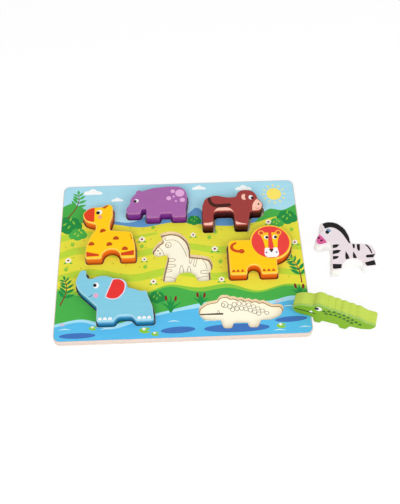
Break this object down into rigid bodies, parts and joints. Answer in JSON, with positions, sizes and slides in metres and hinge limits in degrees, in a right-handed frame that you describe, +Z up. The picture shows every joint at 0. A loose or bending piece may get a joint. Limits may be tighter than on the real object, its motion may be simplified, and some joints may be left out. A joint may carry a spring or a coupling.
{
  "type": "wooden animal puzzle",
  "caption": "Chunky wooden peg-free puzzle: a printed board with animal-shaped pockets and thick lift-out animals that also stand on their feet.",
  "frame": {"origin": "middle of the board's underside, on the table", "axes": "+X along the board's long side to the right, +Y away from the player, +Z up out of the printed face"},
  "size_m": [0.3877, 0.2261, 0.0412],
  "materials": {
    "bare_wood": "matt",
    "printed_wood": "satin",
    "giraffe_paint": "satin",
    "hippo_paint": "satin",
    "monkey_paint": "satin",
    "lion_paint": "satin",
    "elephant_paint": "satin",
    "zebra_paint": "satin",
    "crocodile_paint": "satin"
  },
  "bodies": {
    "board": {"backing_board": "bare_wood", "cutout_board": "printed_wood"},
    "giraffe": {"giraffe": "giraffe_paint"},
    "hippo": {"hippo": "hippo_paint"},
    "monkey": {"monkey": "monkey_paint"},
    "lion": {"lion": "lion_paint"},
    "elephant": {"elephant": "elephant_paint"},
    "zebra": {"zebra": "zebra_paint"},
    "crocodile": {"crocodile": "crocodile_paint"}
  },
  "joints": [
    {"name": "giraffe_lift", "type": "slide", "parent": "board", "child": "giraffe", "axis": [0, 0, 1], "range_m": [0, 0.04]},
    {"name": "hippo_lift", "type": "slide", "parent": "board", "child": "hippo", "axis": [0, 0, 1], "range_m": [0, 0.04]},
    {"name": "monkey_lift", "type": "slide", "parent": "board", "child": "monkey", "axis": [0, 0, 1], "range_m": [0, 0.04]},
    {"name": "lion_lift", "type": "slide", "parent": "board", "child": "lion", "axis": [0, 0, 1], "range_m": [0, 0.04]},
    {"name": "elephant_lift", "type": "slide", "parent": "board", "child": "elephant", "axis": [0, 0, 1], "range_m": [0, 0.04]},
    {"name": "zebra_lift", "type": "slide", "parent": "board", "child": "zebra", "axis": [0, 0, 1], "range_m": [0, 0.04]},
    {"name": "crocodile_lift", "type": "slide", "parent": "board", "child": "crocodile", "axis": [0, 0, 1], "range_m": [0, 0.04]}
  ]
}
